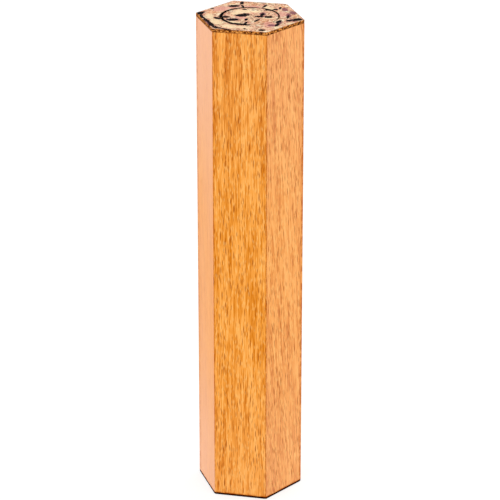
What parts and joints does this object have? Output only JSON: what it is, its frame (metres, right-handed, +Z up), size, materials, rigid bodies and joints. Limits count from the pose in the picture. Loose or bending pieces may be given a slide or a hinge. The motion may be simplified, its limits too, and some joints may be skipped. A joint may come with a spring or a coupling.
{
  "type": "mezuzah case",
  "caption": "Six-sided wooden mezuzah case with a marbled top end, a flush round plug that lifts out and the rolled parchment inside.",
  "frame": {"origin": "centre of the base, on the surface the case stands on", "axes": "+Z up along the case; the front stave faces -Y and the back, with its keyhole plates, faces +Y; two corners lie on X"},
  "size_m": [0.0324, 0.028, 0.15],
  "materials": {
    "oak": "satin lacquered, open pores",
    "marbled_sheet": "satin, marbled cream and pink with dark flecks",
    "dark_pad": "matt leatherboard",
    "beech": "sanded, unfinished",
    "black_rubber": "matt",
    "parchment": "matt, scraped skin",
    "clear_film": "clear, glossy",
    "cork": "matt pressed cork",
    "brass": "satin"
  },
  "bodies": {
    "case": {"stave_front": "oak", "stave_front_right": "oak", "stave_back_right": "oak", "stave_back": "oak", "stave_back_left": "oak", "stave_front_left": "oak", "top_facing": "marbled_sheet", "bottom_block": "beech", "base_pad": "dark_pad", "keyhole_plate_upper": "brass", "keyhole_plate_lower": "brass", "plate_screw_upper_1": "brass", "plate_screw_upper_2": "brass", "plate_screw_lower_1": "brass", "plate_screw_lower_2": "brass"},
    "scroll": {"lifter_disc": "cork", "parchment_scroll": "parchment", "scroll_sleeve": "clear_film"},
    "plug": {"plug_core": "beech", "plug_facing": "marbled_sheet", "plug_grip_ring": "black_rubber"}
  },
  "joints": [
    {"name": "scroll_push_out", "type": "slide", "parent": "case", "child": "scroll", "axis": [0, 0, 1], "range_m": [0, 0.145]},
    {"name": "plug_pull", "type": "slide", "parent": "scroll", "child": "plug", "axis": [0, 0, 1], "range_m": [0, 0.04]}
  ]
}
